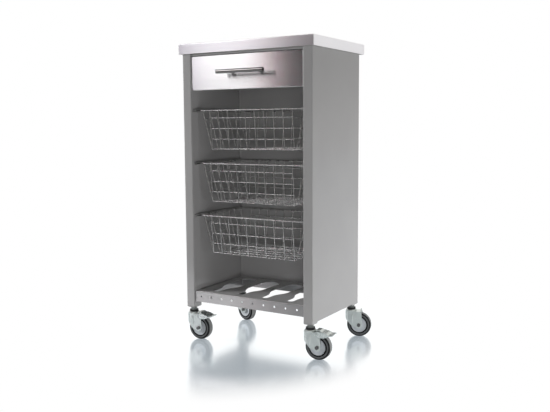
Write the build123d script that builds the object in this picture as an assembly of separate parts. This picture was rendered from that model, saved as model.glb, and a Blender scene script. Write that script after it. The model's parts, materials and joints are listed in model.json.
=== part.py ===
from build123d import *
import math
import os

# Kitchen trolley: worktop, one drawer, three sliding wire baskets, a slotted bottom shelf, four castors.
# Millimetres. X runs to the right along the front, Y to the back, Z up from the floor.

# Cabinet
overall_height = 900.0
body_width = 442.0
body_depth = 300.0
panel_sheet = 1.0
bend_radius = 3.0
post_width = 30.0
post_depth = 36.0
post_lip = 14.0
skin_step = 4.0
skin_flange = 11.0
skin_bottom_rise = 9.0
foot_rise = 6.0
foot_length = 15.0
foot_slope = 10.0
foot_corner_radius = 6.0
back_flange = 15.0

# Worktop
worktop_thickness = 30.0
worktop_side_overhang = 9.0
worktop_front_overhang = 8.0
worktop_rear_overhang = 17.0
worktop_sheet = 1.2
worktop_corner_radius = 3.0
core_fit = 0.1

# Top rails
rail_sheet = 1.2
rail_recess = 4.0
rail_depth = 40.0
rail_drop = 18.0
drawer_front_top_gap = 8.0
rail_gap = 1.5

# Bottom shelf
shelf_rise = 53.8
shelf_lip = 33.0
shelf_recess = 4.0
shelf_sheet = 1.2
shelf_bend = 2.5
lip_hole_count = 10
lip_hole_pitch = 37.4
lip_hole_diameter = 6.0
lip_hole_drop = 15.8
slot_count = 4
slot_pitch = 86.5
slot_front_margin = 24.0
slot_front_radius = 9.5
slot_neck_run = 22.0
slot_middle_run = 87.0
slot_middle_radius = 27.5
slot_rear_radius = 29.5
slot_rear_margin = 32.0

# Drawer
drawer_front_recess = 4.5
drawer_front_height = 99.5
drawer_front_gap = 1.0
drawer_front_depth = 7.0
drawer_front_sheet = 1.0
drawer_front_radius = 1.5
drawer_box_sheet = 1.0
drawer_box_height = 70.0
drawer_rear_gap = 15.5
drawer_box_rise = 13.5
drawer_box_radius = 2.0
drawer_end_fit = 0.05

# Telescopic slides
slide_height = 45.0
slide_thickness = 13.0
slide_sheet = 1.2
slide_running_gap = 0.5
slide_lead = 1.5
slide_rear_gap = 10.0
slide_flange = 10.5
slide_end_gap = 0.8

# Handle
handle_length = 160.0
handle_diameter = 12.0
handle_post_spacing = 96.0
handle_post_diameter = 8.0
handle_reach = 29.5
handle_post_seat = 2.0
handle_fit = 0.05

# Wire baskets
basket_names = ("top", "middle", "lower")
top_rim_drop = 59.5
rim_pitch = 158.5
basket_setback = 20.0
basket_rear_gap = 7.7
basket_side_gap = 7.0
basket_depth_below_rim = 117.0
mesh_pitch = 31.7
mesh_columns = 9
wall_wires = 3
mesh_wire = 2.2
rim_wire = 4.2
weld_sink = 0.4
mesh_bend = 4.0
edge_margin = 4.0
front_lean = 12.0
rim_corner = 12.0
wire_stub = 1.0
wire_gap = 0.02

# Basket runners
runner_sheet = 1.2
runner_play = 0.3
runner_front = 8.0
runner_rear = 14.0
runner_lap = 1.2
runner_head_fit = 0.1
runner_head_height = 1.6
packer_length = 26.0
packer_end = 4.0
slide_packer_height = 24.0

# Castors
castor_height = 99.0
stem_inset_y = 16.0
castor_trail = 25.0
castor_turns = {"front_left": 4.0, "front_right": 7.5, "rear_left": -16.0, "rear_right": 18.0}
wheel_width = 24.0
tyre_depth = 14.0
tyre_crown_gap = 2.5
hub_radius = 11.0
hub_width = 26.0
hub_gap = 0.4
spacer_radius = 6.0
axle_radius = 3.0
running_fit = 0.05
tyre_clearance = 1.5
fork_sheet = 2.6
fork_front = 18.0
fork_rear = 33.0
fork_nose_drop = 22.0
fork_knee_x = 3.0
fork_knee_drop = 3.5
fork_end_radius = 11.0
crown_thickness = 2.5
race_radius = 17.0
race_height = 5.0
race_gap = 0.3
dust_ring_radius = 13.5
dust_ring_height = 6.0
dust_groove = 0.9
race_plate_radius = 11.5
race_plate_height = 2.0
collar_height = 5.7
collar_flats = 17.0
king_radius = 5.0
king_head_radius = 8.0
king_head_height = 3.5
stem_radius = 6.0
stem_length = 22.0
socket_height = 24.0
socket_fit = 0.1
socket_corner = 3.5
socket_bottom_radius = 4.5
head_flats = 10.0
axle_head = 4.0
axle_nut = 5.5
tab_height = 8.0
tab_width = 14.0

# Brake pedals
pivot_x = 21.0
pivot_drop = 4.5
pivot_radius = 3.0
cheek_sheet = 1.8
cheek_gap = 0.4
rivet_head_radius = 4.5
rivet_head_height = 1.4
pedal_reach = 71.5
tread_start = 39.0
tread_sheet = 2.0
pad_start = 21.0
pad_end = 42.0
pad_rise = 7.0
pad_sheet = 2.0
shoe_length = 8.0
shoe_width = 20.0
shoe_gap = 4.4

# Fasteners
screw_radius = 2.0
screw_fit = 0.05
screw_head_radius = 4.0
screw_head_height = 2.2
rivet_rows = 4

# Values that follow from the sizes above
half_width = body_width / 2
half_depth = body_depth / 2
underside = overall_height - worktop_thickness
shelf_top = castor_height + shelf_rise
flank_x = half_width - post_width
skin_x = flank_x + skin_step
front_y = -half_depth
post_back_y = front_y + post_depth
back_face_y = half_depth - post_depth - panel_sheet
stem_x = half_width - post_width / 2
stem_y = half_depth - stem_inset_y
nodes = {}


def keep(name, *pieces):
    """Stores the solids of one named piece."""
    solids = []
    for piece in pieces:
        solids.extend(piece.solids())
    nodes[name] = solids


def block(x0, x1, y0, y1, z0, z1):
    """A box between two opposite corners."""
    middle = Pos((x0 + x1) / 2, (y0 + y1) / 2, (z0 + z1) / 2)
    return middle * Box(x1 - x0, y1 - y0, z1 - z0)


def rod(start, end, radius):
    """A round bar between two points."""
    a = Vector(*start)
    b = Vector(*end)
    plane = Plane(origin=a, z_dir=b - a)
    return plane * Cylinder(radius, (b - a).length, align=(Align.CENTER, Align.CENTER, Align.MIN))


def folded(points, sheet, radius):
    """The cross section of a folded sheet about its middle line."""
    return trace(FilletPolyline(*points, radius=radius), line_width=sheet)


def along_y(section, y0, y1):
    """Runs an XZ section from y0 to y1."""
    plane = Plane(origin=(0, y1, 0), x_dir=(1, 0, 0), z_dir=(0, -1, 0))
    return extrude(plane * section, amount=y1 - y0)


def along_x(section, x0, x1):
    """Runs a YZ section from x0 to x1."""
    plane = Plane(origin=(x0, 0, 0), x_dir=(0, 1, 0), z_dir=(1, 0, 0))
    return extrude(plane * section, amount=x1 - x0)


def hexagon_bar(start, end, flats):
    """A hexagonal bar between two points, by its width across flats."""
    a = Vector(*start)
    b = Vector(*end)
    plane = Plane(origin=a, z_dir=b - a)
    return extrude(plane * RegularPolygon(flats / 2, 6, major_radius=False), amount=(b - a).length)


def screw(seat, direction, length, head_radius=screw_head_radius, head_height=screw_head_height):
    """A domed screw whose head rests on the seat and whose shank runs along the direction."""
    p = Vector(*seat)
    d = Vector(*direction)
    head = rod(p - d * head_height, p, head_radius)
    rim = head.edges().filter_by(GeomType.CIRCLE).sort_by(lambda e: (e.center() - p).length)[-1]
    head = fillet(rim, head_height * 0.6)
    return head + rod(p, p + d * length, screw_radius)


def screw_hole(seat, direction, length):
    """The hole that a screw passes through."""
    p = Vector(*seat)
    d = Vector(*direction)
    return rod(p - d * 0.01, p + d * length, screw_radius + screw_fit)


def both_sides(piece):
    """A piece of the right side and its mirror image on the left."""
    return [piece, mirror(piece, about=Plane.YZ)]


# Worktop: a folded stainless tray over a board core
top_x = half_width + worktop_side_overhang
top_front = front_y - worktop_front_overhang
top_rear = half_depth + worktop_rear_overhang
tray = block(-top_x, top_x, top_front, top_rear, underside, overall_height)
tray = fillet(tray.edges().filter_by(Axis.Z), worktop_corner_radius)
tray = fillet(tray.faces().sort_by(Axis.Z)[-1].edges(), worktop_corner_radius)
tray_inside = worktop_sheet
board_corner = worktop_corner_radius - worktop_sheet
hollow = block(-top_x + tray_inside, top_x - tray_inside, top_front + tray_inside, top_rear - tray_inside,
               underside - 1, overall_height - worktop_sheet)
hollow = fillet(hollow.edges().filter_by(Axis.Z), board_corner)
hollow = fillet(hollow.faces().sort_by(Axis.Z)[-1].edges(), board_corner)
board_inset = worktop_sheet + core_fit
board = block(-top_x + board_inset, top_x - board_inset, top_front + board_inset, top_rear - board_inset,
              underside, overall_height - worktop_sheet)
board = fillet(board.edges().filter_by(Axis.Z), board_corner)
board = fillet(board.faces().sort_by(Axis.Z)[-1].edges(), board_corner)
keep("worktop_skin", tray - hollow)

# Sides: one sheet each, folded into a post at the front and the rear
mid = panel_sheet / 2
side_path = [
    (flank_x + post_lip, post_back_y - mid),
    (flank_x + mid, post_back_y - mid),
    (flank_x + mid, front_y + mid),
    (half_width - mid, front_y + mid),
    (half_width - mid, half_depth - mid),
    (flank_x + mid, half_depth - mid),
    (flank_x + mid, -post_back_y + mid),
    (flank_x + post_lip, -post_back_y + mid),
]
side_section = folded(side_path, panel_sheet, bend_radius - mid)
side = Pos(0, 0, castor_height) * extrude(side_section, underside - castor_height)
envelope = block(flank_x, half_width, front_y, half_depth, castor_height, underside)
envelope = fillet(envelope.edges().group_by(Axis.Z)[0], foot_corner_radius)
side = side & envelope
foot_in = half_depth - foot_length
arch_points = [
    (-foot_in, castor_height - 1),
    (-foot_in + foot_slope, castor_height + foot_rise),
    (foot_in - foot_slope, castor_height + foot_rise),
    (foot_in, castor_height - 1),
]
arch = along_x(make_face(Polyline(*arch_points, close=True)), half_width - bend_radius, half_width + 1)
side = side - arch

# Inner skins between the posts, flanges seated on the posts' lips
skin_end = -post_back_y - mid
skin_path = [
    (skin_x + skin_flange, -skin_end),
    (skin_x + mid, -skin_end),
    (skin_x + mid, skin_end),
    (skin_x + skin_flange, skin_end),
]
skin_z = castor_height + skin_bottom_rise
skin_section = folded(skin_path, panel_sheet, bend_radius - mid)
inner_skin = Pos(0, 0, skin_z) * extrude(skin_section, underside - skin_z)

# Back panel: a tray let in between the rear posts
back_z = shelf_top - shelf_lip
back_mid = back_face_y + mid
back_path = [
    (-flank_x + mid, back_mid + back_flange),
    (-flank_x + mid, back_mid),
    (flank_x - mid, back_mid),
    (flank_x - mid, back_mid + back_flange),
]
back_section = folded(back_path, panel_sheet, bend_radius - mid)
back_panel = Pos(0, 0, back_z) * extrude(back_section, underside - back_z)

# Top rails under the worktop
rail_mid = rail_sheet / 2
rail_front = front_y + rail_recess
drawer_top = underside - drawer_front_top_gap
front_rail_path = [
    (rail_front + rail_mid, drawer_top + rail_gap),
    (rail_front + rail_mid, underside - rail_mid),
    (rail_front + rail_depth, underside - rail_mid),
    (rail_front + rail_depth, underside - rail_drop),
]
front_rail = along_x(folded(front_rail_path, rail_sheet, bend_radius - rail_mid), -flank_x, flank_x)
rear_rail_path = [
    (back_face_y - rail_mid, underside - rail_drop),
    (back_face_y - rail_mid, underside - rail_mid),
    (back_face_y - rail_depth, underside - rail_mid),
    (back_face_y - rail_depth, underside - rail_drop),
]
rear_rail = along_x(folded(rear_rail_path, rail_sheet, bend_radius - rail_mid), -skin_x, skin_x)

# Bottom shelf: a tray turned down, drilled along its front lip and slotted from front to back
shelf_front = front_y + shelf_recess
shelf_bottom = shelf_top - shelf_lip
shelf = block(-flank_x, flank_x, shelf_front, back_face_y, shelf_bottom, shelf_top)
shelf = fillet(shelf.edges().filter_by(Axis.Z), shelf_bend)
shelf = fillet(shelf.faces().sort_by(Axis.Z)[-1].edges(), shelf_bend)
shelf_inner = block(-flank_x + shelf_sheet, flank_x - shelf_sheet, shelf_front + shelf_sheet,
                    back_face_y - shelf_sheet, shelf_bottom - 1, shelf_top - shelf_sheet)
shelf_inner = fillet(shelf_inner.edges().filter_by(Axis.Z), shelf_bend - shelf_sheet)
shelf_inner = fillet(shelf_inner.faces().sort_by(Axis.Z)[-1].edges(), shelf_bend - shelf_sheet)
shelf = shelf - shelf_inner
hole_z = shelf_top - lip_hole_drop
lip_holes = []
for i in range(lip_hole_count):
    x = (i - (lip_hole_count - 1) / 2) * lip_hole_pitch
    hole_start = (x, shelf_front - 1, hole_z)
    hole_end = (x, shelf_front + shelf_sheet + 1, hole_z)
    lip_holes.append(rod(hole_start, hole_end, lip_hole_diameter / 2))
slot_y = shelf_front + slot_front_margin + slot_front_radius
slot_neck_y = slot_y + slot_neck_run
slot_middle_y = slot_y + slot_middle_run
slot_rear_y = back_face_y - slot_rear_margin - slot_rear_radius
shoulder_run = slot_middle_y - slot_neck_y
shoulder_turn = 2 * math.atan2(slot_middle_radius - slot_front_radius, shoulder_run)


def slot_side(x, side):
    """One side of a bottle-shaped slot: a straight neck, a shoulder of two arcs and the body."""
    neck = (x + side * slot_front_radius, slot_neck_y)
    body = (x + side * slot_middle_radius, slot_middle_y)
    between = ((neck[0] + body[0]) / 2, (neck[1] + body[1]) / 2)
    lean = (side * math.sin(shoulder_turn), math.cos(shoulder_turn))
    return [
        Line((neck[0], slot_y), neck),
        TangentArc(neck, between, tangent=(0, 1)),
        TangentArc(between, body, tangent=lean),
        Line(body, (x + side * slot_rear_radius, slot_rear_y)),
    ]


slots = []
for i in range(slot_count):
    x = (i - (slot_count - 1) / 2) * slot_pitch
    front_round = ThreePointArc((x - slot_front_radius, slot_y), (x, slot_y - slot_front_radius),
                                (x + slot_front_radius, slot_y))
    rear_round = ThreePointArc((x - slot_rear_radius, slot_rear_y), (x, slot_rear_y + slot_rear_radius),
                               (x + slot_rear_radius, slot_rear_y))
    outline = make_face(slot_side(x, -1) + slot_side(x, 1) + [front_round, rear_round])
    slots.append(Pos(0, 0, shelf_top) * extrude(outline, 2 * shelf_sheet, both=True))
shelf = shelf - (lip_holes + slots)

# Drawer front: a shallow stainless pan with a core
pan_x = flank_x - drawer_front_gap
pan_front = front_y + drawer_front_recess
pan_back = pan_front + drawer_front_depth
pan_bottom = drawer_top - drawer_front_height
pan = block(-pan_x, pan_x, pan_front, pan_back, pan_bottom, drawer_top)
pan = fillet(pan.faces().sort_by(Axis.Y)[0].edges(), drawer_front_radius)
pan_in = drawer_front_sheet
pan = pan - block(-pan_x + pan_in, pan_x - pan_in, pan_front + pan_in, pan_back + 1,
                  pan_bottom + pan_in, drawer_top - pan_in)
core_in = drawer_front_sheet + core_fit
pan_core = block(-pan_x + core_in, pan_x - core_in, pan_front + pan_in, pan_back,
                 pan_bottom + core_in, drawer_top - core_in)

# Drawer box: a tray folded from one sheet, with a plate let in at the front and one at the rear
drawer_x = flank_x - slide_thickness
box_bottom = pan_bottom + drawer_box_rise
box_top = box_bottom + drawer_box_height
box_rear = back_face_y - drawer_rear_gap
wall = drawer_box_sheet
wall_mid = wall / 2
box_path = [
    (-drawer_x + wall_mid, box_top),
    (-drawer_x + wall_mid, box_bottom + wall_mid),
    (drawer_x - wall_mid, box_bottom + wall_mid),
    (drawer_x - wall_mid, box_top),
]
box = along_y(folded(box_path, wall, drawer_box_radius - wall_mid), pan_back, box_rear)
end_x = drawer_x - wall - drawer_end_fit
end_bottom = box_bottom + wall + drawer_end_fit
box_ends = []
for y in (pan_back, box_rear - wall):
    plate = block(-end_x, end_x, y, y + wall, end_bottom, box_top)
    lower_corners = plate.edges().filter_by(Axis.Y).group_by(Axis.Z)[0]
    box_ends.append(fillet(lower_corners, drawer_box_radius - wall))

# Handle: a round bar on two posts, screwed from inside the drawer
bar_y = pan_front - handle_reach
bar_z = (drawer_top + pan_bottom) / 2
bar = rod((-handle_length / 2, bar_y, bar_z), (handle_length / 2, bar_y, bar_z), handle_diameter / 2)
bar = chamfer(bar.edges().filter_by(GeomType.CIRCLE), 0.6)
post_radius = handle_post_diameter / 2
handle_posts = []
handle_screws = []
for x in (-handle_post_spacing / 2, handle_post_spacing / 2):
    post_end = bar_y + handle_post_seat
    bar = bar - rod((x, post_end, bar_z), (x, pan_front, bar_z), post_radius + handle_fit)
    post = rod((x, pan_front, bar_z), (x, post_end, bar_z), post_radius)
    seat = (x, pan_back + wall, bar_z)
    reach = wall + drawer_front_depth + (handle_reach - handle_post_seat) * 0.5
    handle_posts.append(post - screw_hole(seat, (0, -1, 0), reach + 0.5))
    handle_screws.append(screw(seat, (0, -1, 0), reach))
    box_ends[0] = box_ends[0] - screw_hole(seat, (0, -1, 0), reach)
    pan_core = pan_core - screw_hole(seat, (0, -1, 0), reach)
    pan = pan - screw_hole(seat, (0, -1, 0), reach)
keep("drawer_front", pan)
keep("drawer_front_core", pan_core)
keep("drawer_box", box, *box_ends)
keep("handle_bar", bar)
keep("handle_posts", *handle_posts)
keep("handle_screws", *handle_screws)

# Telescopic slides: cabinet member, middle member, drawer member, nested with a running gap
slide_z = (box_bottom + box_top) / 2
slide_y0 = pan_back + slide_lead
slide_y1 = back_face_y - slide_rear_gap
half_sheet = slide_sheet / 2
step = slide_sheet + slide_running_gap
outer_half = slide_height / 2 - half_sheet
outer_web = flank_x - half_sheet
lip_x = flank_x - slide_flange
cabinet_path = [
    (lip_x, slide_z + outer_half),
    (outer_web, slide_z + outer_half),
    (outer_web, slide_z - outer_half),
    (lip_x, slide_z - outer_half),
]
middle_path = [
    (lip_x, slide_z + outer_half - step),
    (outer_web - step, slide_z + outer_half - step),
    (outer_web - step, slide_z - outer_half + step),
    (lip_x, slide_z - outer_half + step),
]
drawer_web = drawer_x + half_sheet
drawer_lip = outer_web - step - half_sheet - slide_end_gap
drawer_path = [
    (drawer_lip, slide_z + outer_half - 2 * step),
    (drawer_web, slide_z + outer_half - 2 * step),
    (drawer_web, slide_z - outer_half + 2 * step),
    (drawer_lip, slide_z - outer_half + 2 * step),
]
cabinet_member = along_y(folded(cabinet_path, slide_sheet, half_sheet + 0.4), slide_y0, slide_y1)
middle_member = along_y(folded(middle_path, slide_sheet, half_sheet + 0.4), slide_y0, slide_y1)
drawer_member = along_y(folded(drawer_path, slide_sheet, half_sheet + 0.4), slide_y0, slide_y1)
keep("drawer_slide_middle_members", *both_sides(middle_member))
keep("drawer_slide_drawer_members", *both_sides(drawer_member))

# Slide and runner fixings on the right side, with their holes
runner_screws = []
slide_screws = []
packers = []
front_fix_y = (front_y + post_back_y) / 2
rear_fix_y = slide_y1 - packer_end - packer_length / 2
slide_packer = block(flank_x, skin_x, rear_fix_y - packer_length / 2, rear_fix_y + packer_length / 2,
                     slide_z - slide_packer_height / 2, slide_z + slide_packer_height / 2)


def countersunk(seat, length):
    """A flush screw along X whose coned head fills a countersink."""
    p = Vector(*seat)
    plane = Plane(origin=p, z_dir=(1, 0, 0))
    cone = plane * Cone(screw_radius + slide_sheet, screw_radius, slide_sheet,
                        align=(Align.CENTER, Align.CENTER, Align.MIN))
    return cone + rod(p, p + Vector(length, 0, 0), screw_radius)


def countersink(seat, length):
    """The hole and cone that a flush screw sits in."""
    p = Vector(*seat)
    plane = Plane(origin=p, z_dir=(1, 0, 0))
    cone = plane * Cone(screw_radius + slide_sheet + screw_fit, screw_radius + screw_fit, slide_sheet,
                        align=(Align.CENTER, Align.CENTER, Align.MIN))
    return cone + rod(p, p + Vector(length, 0, 0), screw_radius + screw_fit)


slide_seat_x = flank_x - slide_sheet
slide_grip = slide_sheet + panel_sheet + 2.5
for y, length in ((front_fix_y, slide_grip), (rear_fix_y, slide_grip + skin_step)):
    seat = (slide_seat_x, y, slide_z)
    slide_screws.append(countersunk(seat, length))
    cut = countersink(seat, length)
    cabinet_member = cabinet_member - cut
    side = side - cut
    inner_skin = inner_skin - cut
    slide_packer = slide_packer - cut
keep("drawer_slide_cabinet_members", *both_sides(cabinet_member))
packers.append(slide_packer)

# Basket runners: channels that the rims slide in
rim_radius = rim_wire / 2
rim_out_x = flank_x - basket_side_gap
rim_x = rim_out_x - rim_radius
runner_mid = runner_sheet / 2
runner_half = rim_radius + runner_play + runner_mid
runner_head_radius = rim_radius + runner_play - runner_head_fit
runner_lip = rim_x - runner_lap
runner_y0 = front_y + runner_front
runner_y1 = back_face_y - runner_rear
runner_fix_y = runner_y1 - packer_end - packer_length / 2
packer_half = runner_half + runner_mid
rim_heights = [pan_bottom - top_rim_drop - i * rim_pitch for i in range(len(basket_names))]
for name, rim_z in zip(basket_names, rim_heights):
    path = [
        (runner_lip, rim_z + runner_half),
        (flank_x - runner_mid, rim_z + runner_half),
        (flank_x - runner_mid, rim_z - runner_half),
        (runner_lip, rim_z - runner_half),
    ]
    runner = along_y(folded(path, runner_sheet, runner_mid + 0.3), runner_y0, runner_y1)
    packer = block(flank_x, skin_x, runner_fix_y - packer_length / 2, runner_fix_y + packer_length / 2,
                   rim_z - packer_half, rim_z + packer_half)
    runner_grip = runner_sheet + panel_sheet
    for y, grip in ((front_fix_y, runner_grip), (runner_fix_y, runner_grip + skin_step)):
        seat = (flank_x - runner_sheet, y, rim_z)
        runner_screws.append(screw(seat, (1, 0, 0), grip + 3.0, runner_head_radius, runner_head_height))
        cut = screw_hole(seat, (1, 0, 0), grip + 3.0)
        runner = runner - cut
        packer = packer - cut
        side = side - cut
        inner_skin = inner_skin - cut
    packers.append(packer)
    keep("basket_runners_" + name, *both_sides(runner))
keep("runner_packers", *[p for packer in packers for p in both_sides(packer)])
keep("runner_screws", *[p for s in runner_screws for p in both_sides(s)])
keep("slide_screws", *[p for s in slide_screws for p in both_sides(s)])

# Shelf screws: two into each front post, two into the back panel
shelf_screws = []
screw_z = shelf_top - shelf_lip / 2
side_seat = (flank_x - shelf_sheet, front_fix_y, screw_z)
side_grip = shelf_sheet + panel_sheet + 3.0
shelf_screws.extend(both_sides(screw(side_seat, (1, 0, 0), side_grip)))
side_cut = screw_hole(side_seat, (1, 0, 0), side_grip)
side = side - side_cut
shelf = shelf - both_sides(side_cut)
rear_seat = (flank_x * 0.6, back_face_y - shelf_sheet, screw_z)
rear_grip = shelf_sheet + panel_sheet + 3.0
shelf_screws.extend(both_sides(screw(rear_seat, (0, 1, 0), rear_grip)))
rear_cut = screw_hole(rear_seat, (0, 1, 0), rear_grip)
shelf = shelf - both_sides(rear_cut)
back_panel = back_panel - both_sides(rear_cut)
keep("shelf_screws", *shelf_screws)
keep("bottom_shelf", shelf)

# Rivets that hold the back panel's flanges to the rear posts
back_rivets = []
rivet_y = back_mid + back_flange * 0.55
for i in range(rivet_rows):
    z = back_z + (underside - back_z) * (i + 0.5) / rivet_rows
    seat = (flank_x - panel_sheet, rivet_y, z)
    back_rivets.extend(both_sides(screw(seat, (1, 0, 0), 2 * panel_sheet + 2.0)))
    cut = screw_hole(seat, (1, 0, 0), 2 * panel_sheet + 2.0)
    side = side - cut
    back_panel = back_panel - both_sides(cut)
keep("back_panel_rivets", *back_rivets)
keep("back_panel", back_panel)
keep("right_side_panel", side)
keep("left_side_panel", mirror(side, about=Plane.YZ))
keep("right_inner_skin", inner_skin)
keep("left_inner_skin", mirror(inner_skin, about=Plane.YZ))

# Worktop screws up through the rails into the core
worktop_screws = []
screw_rise = rail_sheet + worktop_thickness * 0.5
for y, name in ((rail_front + rail_depth / 2, "front"), (back_face_y - rail_depth / 2, "rear")):
    for x in (-flank_x * 0.75, flank_x * 0.75):
        seat = (x, y, underside - rail_sheet)
        worktop_screws.append(screw(seat, (0, 0, 1), screw_rise))
        cut = screw_hole(seat, (0, 0, 1), screw_rise + 0.5)
        board = board - cut
        if name == "front":
            front_rail = front_rail - cut
        else:
            rear_rail = rear_rail - cut
keep("worktop_screws", *worktop_screws)
keep("worktop_core", board)
keep("front_top_rail", front_rail)
keep("rear_top_rail", rear_rail)

# Wire baskets: a flat mesh folded up into a floor and four leaning walls, hung from a thicker rim
wire_radius = mesh_wire / 2
layer = mesh_wire - weld_sink
rim_to_wire = rim_radius + wire_radius + wire_gap
long_z = -basket_depth_below_rim
cross_z = long_z + layer
basket_front = front_y + basket_setback
basket_rear = back_face_y - basket_rear_gap
basket_y = (basket_front + basket_rear) / 2
rim_y = (basket_rear - basket_front) / 2 - rim_radius
front_angle = math.atan2(front_lean, -long_z)
corner_y = rim_y - front_lean - rim_to_wire / math.cos(front_angle)
floor_half_y = corner_y - edge_margin
mesh_rows = round(2 * floor_half_y / mesh_pitch)
row_pitch = 2 * floor_half_y / mesh_rows
floor_half_x = mesh_columns * mesh_pitch / 2
corner_x = floor_half_x + edge_margin
rim_offset = math.hypot(rim_x - corner_x, cross_z)
side_angle = math.atan2(rim_x - corner_x, -cross_z) - math.asin(rim_to_wire / rim_offset)


def bent_wire(points):
    """A round wire that follows a bent path."""
    path = FilletPolyline(*points, radius=mesh_bend)
    start = Plane(origin=path @ 0, z_dir=path % 0)
    return sweep(start * Circle(wire_radius), path=path)


floor_wires = []
walls = []
# Wires that run from front to back, in the front wall, the floor and the rear wall
up_front = Vector(0, math.sin(front_angle), math.cos(front_angle))
front_length = -long_z / math.cos(front_angle)
front_start = mesh_bend * math.tan((math.pi / 2 - front_angle) / 2) + 0.5
for side_sign in (-1, 1):
    up = Vector(0, side_sign * up_front.Y, up_front.Z)
    inward = Vector(0, -side_sign * up_front.Z, up_front.Y)
    foot = Vector(0, side_sign * corner_y, long_z)
    wires = []
    for i in range(mesh_columns + 1):
        x = i * mesh_pitch - floor_half_x
        base = foot + Vector(x, 0, 0)
        wires.append(rod(base + up * front_start, base + up * (front_length + wire_stub), wire_radius))
    for j in range(1, wall_wires + 1):
        level = foot + up * (j * mesh_pitch) + inward * layer
        end = Vector(floor_half_x + 2 * wire_radius, 0, 0)
        wires.append(rod(level - end, level + end, wire_radius))
    walls.append(wires[0].fuse(*wires[1:]))
for i in range(mesh_columns + 1):
    x = i * mesh_pitch - floor_half_x
    low = up_front * front_start
    floor_wires.append(bent_wire([
        (x, -corner_y - low.Y, long_z + low.Z),
        (x, -corner_y, long_z),
        (x, corner_y, long_z),
        (x, corner_y + low.Y, long_z + low.Z),
    ]))
# Wires that run from left to right, in the side walls and the floor
up_side = Vector(math.sin(side_angle), 0, math.cos(side_angle))
side_length = math.sqrt(rim_offset ** 2 - rim_to_wire ** 2)
side_start = mesh_bend * math.tan((math.pi / 2 - side_angle) / 2) + 0.5
for side_sign in (-1, 1):
    up = Vector(side_sign * up_side.X, 0, up_side.Z)
    outward = Vector(side_sign * up_side.Z, 0, -up_side.X)
    foot = Vector(side_sign * corner_x, 0, cross_z)
    wires = []
    for i in range(mesh_rows + 1):
        y = i * row_pitch - floor_half_y
        base = foot + Vector(0, y, 0)
        wires.append(rod(base + up * side_start, base + up * (side_length + wire_stub), wire_radius))
    for j in range(1, wall_wires + 1):
        level = foot + up * (j * mesh_pitch) + outward * layer
        end = Vector(0, floor_half_y + 2 * wire_radius, 0)
        wires.append(rod(level - end, level + end, wire_radius))
    walls.append(wires[0].fuse(*wires[1:]))
for i in range(mesh_rows + 1):
    y = i * row_pitch - floor_half_y
    low = up_side * side_start
    floor_wires.append(bent_wire([
        (-corner_x - low.X, y, cross_z + low.Z),
        (-corner_x, y, cross_z),
        (corner_x, y, cross_z),
        (corner_x + low.X, y, cross_z + low.Z),
    ]))
floor = floor_wires[0].fuse(*floor_wires[1:])
rim_loop = RectangleRounded(2 * rim_x, 2 * rim_y, rim_corner).wire()
rim = sweep(Plane(origin=rim_loop @ 0, z_dir=rim_loop % 0) * Circle(rim_radius), path=rim_loop)
for name, rim_z in zip(basket_names, rim_heights):
    place = Pos(0, basket_y, rim_z)
    keep("basket_" + name + "_rim", place * rim)
    keep("basket_" + name + "_walls", *[place * wall_mesh for wall_mesh in walls])
    keep("basket_" + name + "_floor", place * floor)

# Castors, drawn about the swivel axis and then put under each post
leg_in = hub_width / 2 + hub_gap
leg_out = leg_in + fork_sheet
plate_top = castor_height - collar_height
ring_top = plate_top - race_plate_height
ring_bottom = ring_top - dust_ring_height
race_top = ring_bottom - race_gap
fork_top = race_top - race_height
crown_bottom = fork_top - crown_thickness
wheel_radius = (crown_bottom - tyre_crown_gap) / 2
wheel_disc_radius = wheel_radius - tyre_depth
axle_z = wheel_radius
king_head_top = crown_bottom - race_gap

stem = rod((0, 0, castor_height), (0, 0, castor_height + stem_length), stem_radius)
stem = stem + hexagon_bar((0, 0, plate_top), (0, 0, castor_height), collar_flats)
plate = rod((0, 0, ring_top), (0, 0, plate_top), race_plate_radius)
stem = stem + fillet(plate.edges().group_by(Axis.Z)[-1], race_plate_height * 0.5)
stem = stem + rod((0, 0, king_head_top), (0, 0, ring_top), king_radius)
stem = stem + rod((0, 0, king_head_top - king_head_height), (0, 0, king_head_top), king_head_radius)
dust_ring = rod((0, 0, ring_bottom), (0, 0, ring_top), dust_ring_radius)
dust_ring = fillet(dust_ring.edges().filter_by(GeomType.CIRCLE), dust_ring_height * 0.15)
groove = Pos(0, 0, (ring_bottom + ring_top) / 2) * Torus(dust_ring_radius, dust_groove)
dust_ring = dust_ring - groove
dust_ring = dust_ring - rod((0, 0, ring_bottom - 1), (0, 0, ring_top + 1), king_radius + running_fit)

# Fork: a pressed sheet with a closed front, two legs and a flat crown
nose_z = fork_top - fork_nose_drop
knee_z = axle_z - fork_knee_drop
leg_frame = Polyline(
    (-fork_front, fork_top),
    (-fork_front, nose_z),
    (fork_knee_x, knee_z),
    (fork_rear, fork_top),
    close=True,
)
axle_round = Pos(castor_trail, axle_z) * Circle(fork_end_radius)
leg_face = make_hull(list(leg_frame.edges()) + list(axle_round.edges()))
fork = along_y(leg_face, -leg_out, leg_out)
plan_reach = fork_rear + fork_end_radius + 10
plan_mid = (plan_reach - fork_front) / 2
plan = Pos(plan_mid, 0) * Rectangle(plan_reach + fork_front, 2 * leg_out)
plan = fillet(plan.vertices().group_by(Axis.X)[0], leg_out - 3)
fork = fork & extrude(plan, fork_top + 1)
cavity = block(-fork_front, plan_reach + 1, -leg_in, leg_in, 0, crown_bottom)
inner_plan = Pos(plan_mid + fork_sheet, 0) * Rectangle(plan_reach + fork_front, 2 * leg_in)
inner_plan = fillet(inner_plan.vertices().group_by(Axis.X)[0], leg_in - 3)
cavity = cavity & extrude(inner_plan, fork_top + 1)
fork = fork - cavity
wheel_near = (castor_trail, -leg_in, axle_z)
wheel_far = (castor_trail, leg_in, axle_z)
fork = fork - rod(wheel_near, wheel_far, wheel_radius + tyre_clearance)
race = rod((0, 0, fork_top), (0, 0, race_top), race_radius)
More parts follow.
